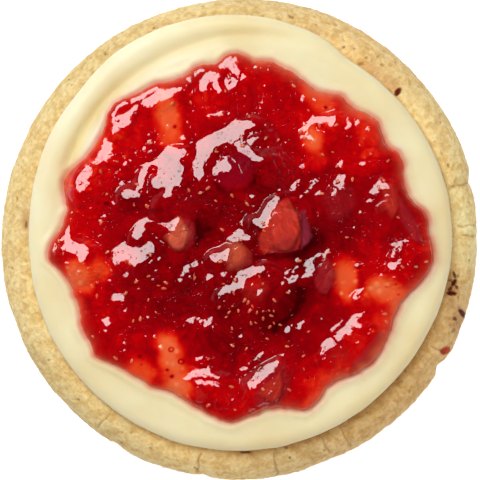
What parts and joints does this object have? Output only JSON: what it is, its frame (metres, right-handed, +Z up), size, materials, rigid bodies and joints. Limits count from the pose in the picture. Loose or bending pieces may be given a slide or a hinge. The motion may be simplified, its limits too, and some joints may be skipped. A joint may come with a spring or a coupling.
{
  "type": "strawberries and cream cookie",
  "caption": "Thick round sugar cookie topped with a spread disc of cream and a glossy pool of strawberry jam with diced strawberries in it. Stands flat on its underside.",
  "frame": {"origin": "under the middle of the cookie, on the flat face it rests on", "axes": "+Z up from the underside through the cream and the jam; +Y towards the side where the last stroke of cream ends in a swirl, +X to the right of it seen from above"},
  "size_m": [0.1118, 0.1129, 0.0254],
  "materials": {
    "dough": "matt, pale golden, fine crumb",
    "cream": "satin, smooth, warm ivory",
    "jam": "wet gloss, deep red, translucent at thin places",
    "fruit": "wet gloss, red to orange"
  },
  "bodies": {
    "root": {"cookie": "dough", "cream": "cream", "jam": "jam", "strawberry_1": "fruit", "strawberry_2": "fruit", "strawberry_3": "fruit", "strawberry_4": "fruit", "strawberry_5": "fruit", "strawberry_6": "fruit", "strawberry_7": "fruit", "strawberry_8": "fruit"}
  },
  "joints": []
}
